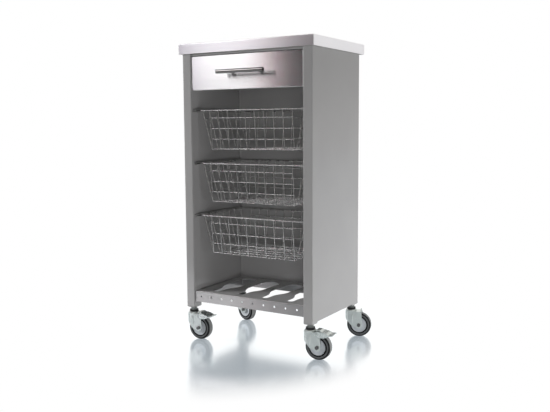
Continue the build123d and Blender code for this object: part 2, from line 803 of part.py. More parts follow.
fork = fork + fillet(race.edges().group_by(Axis.Z)[-1], race_height * 0.5)
fork = fork - rod((0, 0, 0), (0, 0, race_top + 1), king_radius + running_fit)
bolt_near = (castor_trail, -leg_out, axle_z)
bolt_far = (castor_trail, leg_out, axle_z)
fork = fork - rod(bolt_near, bolt_far, axle_radius + screw_fit)
tab_top = fork_top + tab_height
tab = block(fork_rear - fork_sheet, fork_rear, -tab_width / 2, tab_width / 2, crown_bottom, tab_top)
plain_fork = fork + fillet(tab.edges().filter_by(Axis.X).group_by(Axis.Z)[-1], tab_height * 0.4)
pivot_z = fork_top - pivot_drop
pivot_near = (pivot_x, -leg_out - 1, pivot_z)
pivot_far = (pivot_x, leg_out + 1, pivot_z)
braked_fork = fork - rod(pivot_near, pivot_far, pivot_radius + running_fit)

# Axle set: bolt, spacer tube and nut
bolt_end = (castor_trail, leg_out + axle_nut + 1, axle_z)
nut_end = (castor_trail, leg_out + axle_nut, axle_z)
bolt_hole = rod(bolt_near, bolt_end, axle_radius + screw_fit)
bolt = rod(bolt_near, bolt_end, axle_radius)
bolt = bolt + hexagon_bar((castor_trail, -leg_out - axle_head, axle_z), bolt_near, head_flats)
spacer = rod(wheel_near, wheel_far, spacer_radius) - bolt_hole
nut = hexagon_bar(bolt_far, nut_end, head_flats) - bolt_hole

# Wheel centre and tyre, turned about the axle
wheel_plane = Plane(origin=(castor_trail, 0, axle_z), x_dir=(1, 0, 0), z_dir=(0, 0, -1))
wheel_axis = Axis((castor_trail, 0, axle_z), (0, 1, 0))
bore = spacer_radius + running_fit
half_tread = wheel_width / 2
half_hub = hub_width / 2
centre_half = [
    (bore, half_hub),
    (hub_radius - 1, half_hub),
    (hub_radius + 0.8, half_tread - 2.0),
    (wheel_disc_radius - 2.0, half_tread - 1.8),
    (wheel_disc_radius, half_tread - 0.8),
]
centre_outline = centre_half + [(r, -y) for r, y in reversed(centre_half)]
wheel_centre = revolve(wheel_plane * make_face(Polyline(*centre_outline, close=True)), axis=wheel_axis)
ring_in = wheel_disc_radius + 4.5
ring_out = wheel_radius - 4.5
tyre_half = [
    (wheel_disc_radius, half_tread - 0.8),
    (wheel_disc_radius + 1.0, half_tread - 2.6),
    (ring_in - 0.8, half_tread - 2.6),
    (ring_in, half_tread - 0.4),
    (ring_in + 1.0, half_tread),
    (ring_out - 1.0, half_tread),
    (ring_out, half_tread - 0.6),
    (ring_out + 0.6, half_tread - 1.8),
    (wheel_radius - 1.6, half_tread - 2.6),
    (wheel_radius - 0.4, half_tread - 4.4),
    (wheel_radius, half_tread - 6.6),
]
tyre_outline = tyre_half + [(r, -y) for r, y in reversed(tyre_half)]
tyre = revolve(wheel_plane * make_face(Polyline(*tyre_outline, close=True)), axis=wheel_axis)

# Brake pedal: two cheeks outside the fork legs, a tread and a raised release pad
cheek_in = leg_out + cheek_gap
cheek_out = cheek_in + cheek_sheet
horn = [
    (pivot_x - 6.5, pivot_z - 3.0),
    (pivot_x - 5.0, pivot_z + 5.0),
    (pivot_x + 4.0, pivot_z + 8.0),
    (tread_start, pivot_z + 7.5),
    (tread_start + 13, pivot_z + 5.0),
    (pedal_reach - 11, pivot_z + 1.2),
    (pedal_reach, pivot_z + 1.8),
    (pedal_reach, pivot_z - 0.4),
    (pedal_reach - 12, pivot_z - 2.8),
    (pedal_reach - 17, pivot_z - 5.5),
    (tread_start + 6, pivot_z - 8.5),
    (pivot_x + 12, pivot_z - 8.7),
    (pivot_x + 2, pivot_z - 7.2),
]
tread_line = [
    (tread_start, pivot_z + 7.5),
    (tread_start + 13, pivot_z + 5.0),
    (pedal_reach - 11, pivot_z + 1.2),
    (pedal_reach, pivot_z + 1.8),
]
tread_outline = tread_line + [(x, z - tread_sheet) for x, z in reversed(tread_line)]
cheek_face = make_face(Polyline(*horn, close=True))
pedal = along_y(make_face(Polyline(*tread_outline, close=True)), -cheek_out, cheek_out)
for sign in (-1, 1):
    y0, y1 = sorted((sign * cheek_in, sign * cheek_out))
    pedal = pedal + along_y(cheek_face, y0, y1)
shoe = block(tread_start, tread_start + shoe_length, -shoe_width / 2, shoe_width / 2, axle_z, pivot_z + 5.8)
pedal = pedal + (shoe - rod(wheel_near, wheel_far, wheel_radius + shoe_gap))
pad_height = fork_top + pad_rise
pad_line = [
    (pad_start, pad_height),
    (pad_end - 10, pad_height),
    (pad_end - 2, pad_height - 4.5),
    (pad_end, pivot_z + 6.0),
]
pad_outline = pad_line + [
    (pad_end - pad_sheet, pivot_z + 6.0),
    (pad_end - 2 - pad_sheet, pad_height - 4.5 - pad_sheet * 0.6),
    (pad_end - 10 - pad_sheet * 0.4, pad_height - pad_sheet),
    (pad_start, pad_height - pad_sheet),
]
pedal = pedal + along_y(make_face(Polyline(*pad_outline, close=True)), -leg_in, leg_in)
pivot_ends = [(pivot_x, sign * (cheek_out + 1), pivot_z) for sign in (-1, 1)]
pedal = pedal - rod(*pivot_ends, pivot_radius + running_fit)
rivets = []
for sign in (-1, 1):
    head_y = sign * (cheek_out + cheek_gap)
    head_start = (pivot_x, head_y, pivot_z)
    head_end = (pivot_x, head_y + sign * rivet_head_height, pivot_z)
    rivet = rod((pivot_x, sign * leg_in, pivot_z), head_start, pivot_radius)
    rivets.append(rivet + rod(head_start, head_end, rivet_head_radius))

# Sockets in the posts that the stems screw into
socket_x = post_width / 2 - panel_sheet - socket_fit
socket_front = front_y + panel_sheet + socket_fit + stem_y
socket_back = post_back_y - panel_sheet - socket_fit + stem_y
socket = block(-socket_x, socket_x, socket_front, socket_back, castor_height, castor_height + socket_height)
socket = fillet(socket.edges().filter_by(Axis.Z), socket_corner)
socket = fillet(socket.faces().sort_by(Axis.Z)[0].edges(), socket_bottom_radius - 1.5)
socket_top = castor_height + socket_height
socket = socket - rod((0, 0, castor_height - 1), (0, 0, socket_top + 1), stem_radius + screw_fit)
rear_socket = mirror(socket, about=Plane.XZ)

stems = []
dust_rings = []
sockets = []
for depth_sign, depth_name in ((-1, "front"), (1, "rear")):
    for side_sign, side_name in ((-1, "left"), (1, "right")):
        corner = depth_name + "_" + side_name
        name = "castor_" + corner
        place = Pos(side_sign * stem_x, depth_sign * stem_y, 0)
        turned = place * Rot(0, 0, castor_turns[corner])
        stems.append(place * stem)
        dust_rings.append(place * dust_ring)
        sockets.append(place * (socket if depth_sign < 0 else rear_socket))
        keep(name + "_axle", turned * bolt, turned * spacer, turned * nut)
        keep(name + "_wheel_centre", turned * wheel_centre)
        keep(name + "_tyre", turned * tyre)
        if depth_name == "front":
            keep(name + "_fork", turned * braked_fork)
            keep(name + "_brake_pedal", turned * pedal)
            keep(name + "_brake_rivets", *[turned * rivet for rivet in rivets])
        else:
            keep(name + "_fork", turned * plain_fork)
keep("castor_stems", *stems)
keep("castor_dust_rings", *dust_rings)
keep("castor_sockets", *sockets)

# The frame's origin is on the floor under the middle of the whole outline, castors included
pedal_turn = math.radians(castor_turns["front_right"])
pedal_right = stem_x + pedal_reach * math.cos(pedal_turn) + cheek_out * abs(math.sin(pedal_turn))
outline_right = max(top_x, pedal_right)
outline_front = min(top_front, bar_y - handle_diameter / 2)
origin_x = (outline_right - top_x) / 2
origin_y = (outline_front + top_rear) / 2
to_frame = Pos(-origin_x, -origin_y, 0)

os.makedirs("parts", exist_ok=True)
for name, solids in nodes.items():
    placed = [to_frame * solid for solid in solids]
    shape = placed[0] if len(placed) == 1 else Compound(placed)
    export_step(shape, "parts/" + name + ".step")
    volume = sum(solid.volume for solid in placed)
    print(name, len(placed), all(solid.is_valid for solid in placed), round(volume))
print("nodes", len(nodes), "origin", round(origin_x, 3), round(origin_y, 3))
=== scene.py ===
import json
import math

import bpy
from mathutils import Matrix, Vector


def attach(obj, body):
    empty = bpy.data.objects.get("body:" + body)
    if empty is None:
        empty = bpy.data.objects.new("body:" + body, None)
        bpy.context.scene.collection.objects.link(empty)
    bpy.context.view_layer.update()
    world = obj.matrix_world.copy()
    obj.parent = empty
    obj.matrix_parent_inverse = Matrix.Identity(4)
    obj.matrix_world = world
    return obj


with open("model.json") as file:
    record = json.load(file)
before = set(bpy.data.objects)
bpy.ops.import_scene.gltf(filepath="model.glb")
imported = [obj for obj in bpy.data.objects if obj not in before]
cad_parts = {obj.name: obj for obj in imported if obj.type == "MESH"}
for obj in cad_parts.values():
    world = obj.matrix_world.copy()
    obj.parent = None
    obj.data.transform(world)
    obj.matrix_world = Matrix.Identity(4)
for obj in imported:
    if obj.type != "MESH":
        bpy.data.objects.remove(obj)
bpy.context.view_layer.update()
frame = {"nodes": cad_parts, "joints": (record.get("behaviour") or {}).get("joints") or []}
nodes = frame["nodes"]
scene = bpy.context.scene

# Camera, at the photograph's viewing angle
camera_place = Vector((1.14232, -1.89562, 0.65286))
camera_yaw = math.radians(31.318)
camera_pitch = math.radians(6.187)
camera_roll = math.radians(-0.342)
camera_focal_pixels = 728.8
camera_nearest, camera_farthest = 0.05, 60.0
image_width_pixels = 550.0
sensor_width = 36.0


def add_camera():
    """A camera with the fitted place, direction and focal length."""
    data = bpy.data.cameras.new("camera")
    data.sensor_width = sensor_width
    data.lens = camera_focal_pixels / image_width_pixels * sensor_width
    data.clip_start = camera_nearest
    data.clip_end = camera_farthest
    camera = bpy.data.objects.new("camera", data)
    scene.collection.objects.link(camera)
    forward = Vector((-math.sin(camera_yaw) * math.cos(camera_pitch),
                      math.cos(camera_yaw) * math.cos(camera_pitch),
                      -math.sin(camera_pitch)))
    right = Vector((math.cos(camera_yaw), math.sin(camera_yaw), 0.0))
    up = right.cross(forward)
    turned_right = right * math.cos(camera_roll) + up * math.sin(camera_roll)
    turned_up = up * math.cos(camera_roll) - right * math.sin(camera_roll)
    turn = Matrix((turned_right, turned_up, -forward)).transposed()
    camera.matrix_world = Matrix.Translation(camera_place) @ turn.to_4x4()
    scene.camera = camera


add_camera()
scene.view_settings.view_transform = "Standard"

# Shader helpers
# Sockets of the mix node for each kind of value: first input, second input and output
mix_sockets = {"FLOAT": (2, 3, 0), "VECTOR": (4, 5, 1), "RGBA": (6, 7, 2)}
# Most noise lies between these two values
noise_low, noise_high = 0.3, 0.7


def add_node(tree, kind, inputs=None, **settings):
    """One shader node with its settings, its input values and its incoming links."""
    made = tree.nodes.new(kind)
    for key, value in settings.items():
        setattr(made, key, value)
    for key, value in (inputs or {}).items():
        if isinstance(value, bpy.types.NodeSocket):
            tree.links.new(value, made.inputs[key])
        else:
            made.inputs[key].default_value = value
    return made


def maths(tree, operation, *values):
    """The result of one math node."""
    return add_node(tree, "ShaderNodeMath", dict(enumerate(values)), operation=operation).outputs[0]


def vector_maths(tree, operation, *values):
    """The result of one vector math node: a number for a length or a dot product, else a vector."""
    made = add_node(tree, "ShaderNodeVectorMath", dict(enumerate(values)), operation=operation)
    return made.outputs["Value" if operation in ("LENGTH", "DOT_PRODUCT") else "Vector"]


def rescale(tree, value, low, high, to_low, to_high, smooth=False):
    """A value moved from one range to another and kept inside it."""
    made = add_node(tree, "ShaderNodeMapRange", {"Value": value, "From Min": low, "From Max": high,
                                                 "To Min": to_low, "To Max": to_high})
    made.interpolation_type = "SMOOTHSTEP" if smooth else "LINEAR"
    return made.outputs["Result"]


def band(tree, value, start, full, fading, end):
    """One between full and fading, nothing before start and after end, and smooth between them."""
    return maths(tree, "MULTIPLY", rescale(tree, value, start, full, 0.0, 1.0, True),
                 rescale(tree, value, fading, end, 1.0, 0.0, True))


def between(tree, kind, factor, first, second):
    """A number, a vector or a colour between two others."""
    first_input, second_input, output = mix_sockets[kind]
    inputs = {0: factor, first_input: first, second_input: second}
    return add_node(tree, "ShaderNodeMix", inputs, data_type=kind).outputs[output]


def colour_between(tree, factor, first, second):
    """A colour between two colours, each a socket or three numbers."""
    ends = [end if isinstance(end, bpy.types.NodeSocket) else (*end, 1.0) for end in (first, second)]
    return between(tree, "RGBA", factor, *ends)


def noise(tree, vector, scale, detail, roughness):
    """Noise between 0 and 1."""
    made = add_node(tree, "ShaderNodeTexNoise", {"Vector": vector, "Scale": scale, "Detail": detail,
                                                 "Roughness": roughness})
    return made.outputs["Fac"]


def spread(tree, value, to_low, to_high):
    """Noise spread over another range."""
    return rescale(tree, value, noise_low, noise_high, to_low, to_high)


def bump(tree, height, distance, strength):
    """A bump whose height in metres is the distance."""
    made = add_node(tree, "ShaderNodeBump", {"Height": height, "Distance": distance, "Strength": strength})
    return made.outputs["Normal"]


def shade(colour, factor):
    """A colour made lighter or darker."""
    return tuple(min(1.0, part * factor) for part in colour)


def mottled(tree, value, colour, darker, lighter):
    """A colour that goes from darker to lighter with a noise."""
    share = spread(tree, value, 0.0, 1.0)
    return colour_between(tree, share, shade(colour, darker), shade(colour, lighter))


def uneven(tree, level, broad, less, more, fine, sway):
    """A level that goes from less to more with a broad noise and sways with a fine one."""
    return maths(tree, "ADD", spread(tree, broad, level - less, level + more),
                 spread(tree, fine, -sway, sway))


def start_material(name):
    """A material, its node tree, its main shader and the coordinates of the object that wears it."""
    material = bpy.data.materials.new(name)
    material.use_nodes = True
    tree = material.node_tree
    shader = tree.nodes["Principled BSDF"]
    coordinates = tree.nodes.new("ShaderNodeTexCoord")
    return material, tree, shader, coordinates


def dress(tree, shader, tone, rough, normal):
    """Links colour, roughness and bump to a material's main shader."""
    for key, socket in (("Base Color", tone), ("Roughness", rough), ("Normal", normal)):
        tree.links.new(socket, shader.inputs[key])


# Brushed stainless steel: the grain, the smudges, and on a bar a painted shade along the top and underneath,
# with its end faces painted near black
grain_along, grain_across = 5.0, 900.0
broad_grain_scale = (0.3, 0.06, 0.06)
fine_grain_share, broad_grain_share = 0.6, 0.4
grain_height, grain_strength = 0.000004, 0.3
steel_darker, steel_lighter = 0.96, 1.03
smudge_range, smudge_share, smudge_shade = (0.35, 0.7), 0.35, 0.97
facing_limit = 0.7
# A bar's painted shade and the near-black colour of its end faces
bar_painted_shade_colour = (0.05, 0.048, 0.05)
bar_end_colour = (0.02, 0.018, 0.02)
bar_top_range, bar_top_share = (0.35, 0.6), 0.9
bar_underside_range, bar_underside_share = (-0.3, 0.0), 0.4


def brushed_steel(name, colour, roughness, grain_axis, anisotropy=0.0):
    """Steel brushed along X, with the end faces brushed along Y, or along one axis only for bars.

    On a bar along X, painted shade darkens the top and underneath for the dark room they would mirror, and
    the end faces are painted near black.
    """
    material, tree, shader, coordinates = start_material(name)
    place = coordinates.outputs["Object"]
    facing = add_node(tree, "ShaderNodeSeparateXYZ", {0: coordinates.outputs["Normal"]})
    grain_x = vector_maths(tree, "MULTIPLY", place, (grain_along, grain_across, grain_across))
    grain_y = vector_maths(tree, "MULTIPLY", place, (grain_across, grain_along, grain_across))
    is_end = maths(tree, "GREATER_THAN", maths(tree, "ABSOLUTE", facing.outputs["X"]), facing_limit)
    if grain_axis == "faces":
        grain_place = between(tree, "VECTOR", is_end, grain_x, grain_y)
        is_top = maths(tree, "GREATER_THAN", maths(tree, "ABSOLUTE", facing.outputs["Z"]), facing_limit)
        across = between(tree, "VECTOR", is_top, (0.0, 0.0, 1.0), (0.0, 1.0, 0.0))
        tree.links.new(across, shader.inputs["Tangent"])
        shader.inputs["Anisotropic"].default_value = anisotropy
    else:
        grain_place = grain_x if grain_axis == "x" else grain_y
    broad_place = vector_maths(tree, "MULTIPLY", grain_place, broad_grain_scale)
    fine = noise(tree, grain_place, scale=1.0, detail=3.0, roughness=0.6)
    broad = noise(tree, broad_place, scale=1.0, detail=2.0, roughness=0.5)
    smudge = noise(tree, place, scale=9.0, detail=2.0, roughness=0.5)
    grain_mix = maths(tree, "ADD", maths(tree, "MULTIPLY", fine, fine_grain_share),
                      maths(tree, "MULTIPLY", broad, broad_grain_share))
    tone = mottled(tree, grain_mix, colour, steel_darker, steel_lighter)
    smudged = rescale(tree, smudge, *smudge_range, 0.0, smudge_share)
    tone = colour_between(tree, smudged, tone, shade(colour, smudge_shade))
    if grain_axis == "x":
        # Painted shade: the top and the underside of a bar are darkened for the dark room they would mirror
        top_painted_shade = rescale(tree, facing.outputs["Z"], *bar_top_range, 0.0, bar_top_share, True)
        underside_painted_shade = rescale(tree, facing.outputs["Z"], *bar_underside_range, bar_underside_share, 0.0, True)
        tone = colour_between(tree, maths(tree, "ADD", top_painted_shade, underside_painted_shade), tone, bar_painted_shade_colour)
        # The end faces are painted near black
        tone = colour_between(tree, is_end, tone, bar_end_colour)
    shader.inputs["Metallic"].default_value = 1.0
    rough = uneven(tree, roughness, grain_mix, less=0.008, more=0.008, fine=smudge, sway=0.006)
    dress(tree, shader, tone, rough, bump(tree, fine, grain_height, grain_strength))
    return material


# Powder coat
coat_darker, coat_lighter = 0.965, 1.035
speck_range, speck_share, speck_shade = (0.35, 0.75), 0.3, 0.9
upward_range = (0.4, 0.9)
peel_strength = 0.6


def painted_metal(name, colour, roughness, peel=0.00004, metallic=0.0, top_shade=1.0):
    """Powder coat: a fine orange peel, a slight unevenness of colour and gloss.

    A metallic coat has its sheen on upright faces, and faces that look up can be painted lighter, a painted
    light on the top.
    """
    material, tree, shader, coordinates = start_material(name)
    place = coordinates.outputs["Object"]
    cloud = noise(tree, place, scale=5.0, detail=3.0, roughness=0.55)
    grain = noise(tree, place, scale=1500.0, detail=2.0, roughness=0.5)
    peel_waves = noise(tree, place, scale=420.0, detail=2.0, roughness=0.45)
    tone = mottled(tree, cloud, colour, coat_darker, coat_lighter)
    specks = rescale(tree, grain, *speck_range, 0.0, speck_share)
    tone = colour_between(tree, specks, tone, shade(colour, speck_shade))
    if metallic:
        facing = add_node(tree, "ShaderNodeSeparateXYZ", {0: coordinates.outputs["Normal"]})
        upward = rescale(tree, facing.outputs["Z"], *upward_range, 0.0, 1.0, True)
        # Painted light: faces that look up get a lighter copy of the colour
        lit_top_colour_painted = mottled(tree, cloud, shade(colour, top_shade), coat_darker, coat_lighter)
        tone = colour_between(tree, upward, tone, lit_top_colour_painted)
        tree.links.new(rescale(tree, upward, 0.0, 1.0, metallic, 0.0), shader.inputs["Metallic"])
    rough = uneven(tree, roughness, cloud, less=0.03, more=0.03, fine=peel_waves, sway=0.03)
    dress(tree, shader, tone, rough, bump(tree, peel_waves, peel, peel_strength))
    return material


# Plated metal
plate_darker, plate_lighter = 0.9, 1.06
spangle_scale = 260.0
spangle_range, spangle_share, spangle_shade = (0.2, 0.8), 0.3, 0.88
plate_grain_height, plate_grain_strength = 0.00002, 0.5


def plated_metal(name, colour, roughness):
    """Plated metal: a faint spangle and patches of duller and brighter metal."""
    material, tree, shader, coordinates = start_material(name)
    place = coordinates.outputs["Object"]
    spangle = add_node(tree, "ShaderNodeTexVoronoi", {"Vector": place, "Scale": spangle_scale})
    patches = noise(tree, place, scale=60.0, detail=3.0, roughness=0.6)
    grain = noise(tree, place, scale=2200.0, detail=2.0, roughness=0.5)
    tone = mottled(tree, patches, colour, plate_darker, plate_lighter)
    spangled = rescale(tree, spangle.outputs["Distance"], *spangle_range, 0.0, spangle_share)
    tone = colour_between(tree, spangled, tone, shade(colour, spangle_shade))
    shader.inputs["Metallic"].default_value = 1.0
    rough = uneven(tree, roughness, patches, less=0.06, more=0.08, fine=grain, sway=0.03)
    dress(tree, shader, tone, rough, bump(tree, grain, plate_grain_height, plate_grain_strength))
    return material


# Plastic
plastic_darker, plastic_lighter = 0.94, 1.06
plastic_texture_height, plastic_texture_strength = 0.00005, 0.5


def moulded_plastic(name, colour, roughness):
    """Moulded plastic or laminate with a fine matt texture."""
    material, tree, shader, coordinates = start_material(name)
    place = coordinates.outputs["Object"]
    texture = noise(tree, place, scale=1800.0, detail=2.0, roughness=0.6)
    cloud = noise(tree, place, scale=45.0, detail=2.0, roughness=0.5)
    tone = mottled(tree, cloud, colour, plastic_darker, plastic_lighter)
    rough = uneven(tree, roughness, cloud, less=0.03, more=0.04, fine=texture, sway=0.04)
    dress(tree, shader, tone, rough, bump(tree, texture, plastic_texture_height, plastic_texture_strength))
    return material


# Wheels: place and axle direction of each, from the joints of the frame
wheel_axles = {}
for joint in frame["joints"]:
    if joint["name"].startswith("wheel_"):
        corner = joint["child"].replace("wheel_", "")
        wheel_axles[corner] = (Vector(joint["pos_m"]), Vector(joint["axis"]).normalized())

# Tyres: the radii in metres of the flank's ring and of the tread, and their colours, which are painted light
# on the black rubber
ring_range = (0.0271, 0.0281, 0.0318, 0.0331)
tread_range = (0.0362, 0.0370)
rubber_dark = (0.006, 0.007, 0.008)
rubber_pale = (0.012, 0.013, 0.014)
flank_ring_painted_light = (0.13, 0.135, 0.14)
tread_painted_light_dark = (0.22, 0.225, 0.225)
tread_painted_light_pale = (0.3, 0.305, 0.305)
rubber_roughness = (0.46, 0.6)
tread_roughening = 0.12
rubber_specular = 0.2
pore_height, pore_strength = 0.0001, 0.6


def radius_from_axle(tree, place, corner):
    """How far a point lies from a wheel's axle."""
    hub, axis = wheel_axles[corner]
    offset = vector_maths(tree, "SUBTRACT", place, hub)
    along = vector_maths(tree, "DOT_PRODUCT", offset, axis)
    length = vector_maths(tree, "LENGTH", offset)
    square = maths(tree, "SUBTRACT", maths(tree, "MULTIPLY", length, length),
                   maths(tree, "MULTIPLY", along, along))
    return maths(tree, "SQRT", square)


def tyre_rubber(name, corner):
    """Black rubber with painted light: a paler ring on each flank for the light a raised ring would catch,
    and a much paler tread for the light it catches; the tone varies at random.
    """
    material, tree, shader, coordinates = start_material(name)
    place = coordinates.outputs["Object"]
    radius = radius_from_axle(tree, place, corner)
    pores = noise(tree, place, scale=1300.0, detail=3.0, roughness=0.6)
    scuffs = noise(tree, place, scale=130.0, detail=3.0, roughness=0.6)
    # Painted light: the paler flank ring and the paler tread
    ring = band(tree, radius, *ring_range)
    tread = rescale(tree, radius, *tread_range, 0.0, 1.0, True)
    tone = colour_between(tree, scuffs, rubber_dark, rubber_pale)
    tone = colour_between(tree, ring, tone, flank_ring_painted_light)
    tread_painted_light_tone = colour_between(tree, spread(tree, scuffs, 0.0, 1.0), tread_painted_light_dark, tread_painted_light_pale)
    tone = colour_between(tree, tread, tone, tread_painted_light_tone)
    shader.inputs["Specular IOR Level"].default_value = rubber_specular
    rough = maths(tree, "ADD", spread(tree, scuffs, *rubber_roughness),
                  maths(tree, "MULTIPLY", tread, tread_roughening))
    dress(tree, shader, tone, rough, bump(tree, pores, pore_height, pore_strength))
    return material


# Colours, as linear values
worktop_colour = (0.88, 0.87, 0.9)
steel_colour = (0.9, 0.89, 0.9)
# The handle steel is much darker than the drawer's: painted shade for the dark room that it mirrors
shaded_handle_steel_colour = (0.3, 0.293, 0.287)
grey_colour = (0.405, 0.4, 0.401)
wire_colour = (0.6, 0.592, 0.584)
zinc_colour = (0.67, 0.71, 0.69)
bolt_colour = (0.16, 0.16, 0.16)
packer_colour = (0.09, 0.09, 0.09)
dust_ring_colour = (0.018, 0.019, 0.02)
wheel_colour = (0.56, 0.595, 0.63)
board_colour = (0.4, 0.4, 0.39)

# Materials: name, colour and roughness, and what else sets each apart
steel_top = brushed_steel("steel_worktop", worktop_colour, 0.285, "faces", anisotropy=0.886)
steel_front = brushed_steel("steel_drawer", steel_colour, 0.21, "faces", anisotropy=1.0)
steel_bar = brushed_steel("steel_handle", shaded_handle_steel_colour, 0.15, "x")
# Painted shade: the handle posts are a much darker copy of the handle steel, for the shade under the bar
post_steel_painted_shade = brushed_steel("steel_handle_post", shade(shaded_handle_steel_colour, 0.22), 0.2, "y")
grey_paint = painted_metal("grey_paint", grey_colour, 0.17)
# The shelf is a darker copy of the grey coat, and its top is painted lighter as painted light
shelf_paint = painted_metal("shelf_paint", shade(grey_colour, 0.85), 0.17, peel=0.00003, metallic=0.35,
                            top_shade=1.6)
drawer_paint = painted_metal("drawer_paint", shade(grey_colour, 1.2), 0.45)
runner_paint = painted_metal("runner_paint", shade(grey_colour, 0.95), 0.3)
basket_coat = plated_metal("basket_coat", wire_colour, 0.24)
# Painted shade: the rim wire is a darker copy of the basket wire, to tone down the light it catches
rim_coat = plated_metal("rim_coat", shade(wire_colour, 0.9), 0.28)
zinc = plated_metal("zinc", zinc_colour, 0.34)
bright_zinc = plated_metal("bright_zinc", shade(zinc_colour, 1.02), 0.26)
# Painted shade: the castor stems under the posts get a much darker copy of the zinc
dull_zinc = plated_metal("dull_zinc", shade(zinc_colour, 0.42), 0.4)
dark_bolt = plated_metal("dark_bolt", bolt_colour, 0.42)
packer_plastic = moulded_plastic("packer_plastic", packer_colour, 0.55)
black_plastic = moulded_plastic("black_plastic", dust_ring_colour, 0.5)
wheel_plastic = moulded_plastic("wheel_plastic", wheel_colour, 0.36)
board = moulded_plastic("board_laminate", board_colour, 0.5)

# What each piece of the frame wears
wearing = {
    "worktop_skin": steel_top,
    "drawer_front": steel_front,
    "handle_bar": steel_bar,
    "handle_posts": post_steel_painted_shade,
    "bottom_shelf": shelf_paint,
    "drawer_box": drawer_paint,
    "worktop_core": board,
    "drawer_front_core": board,
    "runner_packers": packer_plastic,
    "castor_dust_rings": black_plastic,
    # The castor stems wear zinc with painted shade
    "castor_stems": dull_zinc,
}
for name in ("left_side_panel", "right_side_panel", "left_inner_skin", "right_inner_skin", "back_panel",
             "front_top_rail", "rear_top_rail", "castor_sockets"):
    wearing[name] = grey_paint
for name in nodes:
    if name.endswith("_tyre"):
        corner = name.replace("castor_", "").replace("_tyre", "")
        wearing[name] = tyre_rubber("tyre_rubber_" + corner, corner)
    elif name.endswith("_wheel_centre"):
        wearing[name] = wheel_plastic
    elif name.endswith("_axle"):
        wearing[name] = dark_bolt
    elif name.startswith("basket_runners"):
        wearing[name] = runner_paint
    elif name.startswith("basket_"):
        wearing[name] = rim_coat if name.endswith("_rim") else basket_coat
    elif name.endswith("_brake_pedal"):
        wearing[name] = bright_zinc
    elif name not in wearing:
        wearing[name] = zinc
for name, material in wearing.items():
    slots = nodes[name].material_slots
    if not slots:
        nodes[name].data.materials.append(material)
    for slot in slots:
        slot.material = material

# Pressed ribs down the outer faces of the fork legs: sizes and heights in metres, shares of a rib's run
leg_face_out = 0.016
rib_ahead = 0.004
rib_width = 0.007
rib_height = 0.0011
rib_root = 0.0002
rib_top = 0.0735
rib_bottom = 0.0405
rib_runs_out = 0.25
rib_end_width = 0.35
rib_steps, rib_arcs = 28, 10


def add_fork_ribs(name, corner, body, swivel):
    """A rib on each leg of a fork: round across, and run out into the leg at both ends."""
    hub = wheel_axles[corner][0]
    trail = Vector((hub.x - swivel.x, hub.y - swivel.y, 0.0)).normalized()
    across = Vector((-trail.y, trail.x, 0.0))
    middle = Vector((swivel.x, swivel.y, 0.0))
    corners = []
    faces = []
    for side in (-1.0, 1.0):
        first = len(corners)
        for i in range(rib_steps + 1):
            share = i / rib_steps
            swell = math.sin(math.pi / 2.0 * min(1.0, min(share, 1.0 - share) / rib_runs_out))
            half = rib_width / 2.0 * (rib_end_width + (1.0 - rib_end_width) * swell)
            level = Vector((0.0, 0.0, rib_top + (rib_bottom - rib_top) * share))
            for k in range(rib_arcs + 1):
                turn = math.pi * k / rib_arcs
                ahead = rib_ahead - half * math.cos(turn)
                out = leg_face_out - rib_root + (rib_height + rib_root) * swell * math.sin(turn)
                corners.append(middle + trail * ahead + across * (side * out) + level)
        for i in range(rib_steps):
            for k in range(rib_arcs):
                start = first + i * (rib_arcs + 1) + k
                loop = [start, start + 1, start + rib_arcs + 2, start + rib_arcs + 1]
                faces.append(loop if side < 0 else loop[::-1])
    mesh = bpy.data.meshes.new(name)
    mesh.from_pydata(corners, [], faces)
    mesh.polygons.foreach_set("use_smooth", [True] * len(mesh.polygons))
    mesh.materials.append(zinc)
    ribs = bpy.data.objects.new(name, mesh)
    scene.collection.objects.link(ribs)
    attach(ribs, body)


for joint in frame["joints"]:
    if joint["name"].endswith("_swivel"):
        corner = joint["child"].replace("castor_", "")
        add_fork_ribs(joint["child"] + "_fork_ribs", corner, joint["child"], Vector(joint["pos_m"]))

# Floor: pale and glossy, white where nothing stands between it and the light
white = (1.0, 1.0, 1.0, 1.0)
floor_grey = (0.5, 0.5, 0.5, 1.0)
floor_glow = (0.8, 0.91, 1.0, 1.0)
floor_glow_level = 1.04
floor_roughness = 0.17
floor_mirror_share = 0.68
fade_range = (0.37, 0.62)
fade_stretch, fade_shift = (1.25, 1.0, 1.0), (0.1, 0.0, 0.0)
floor_reach_sideways, floor_reach = 9.0, 14.0
floor_split = -0.95
floor_height = -0.0004


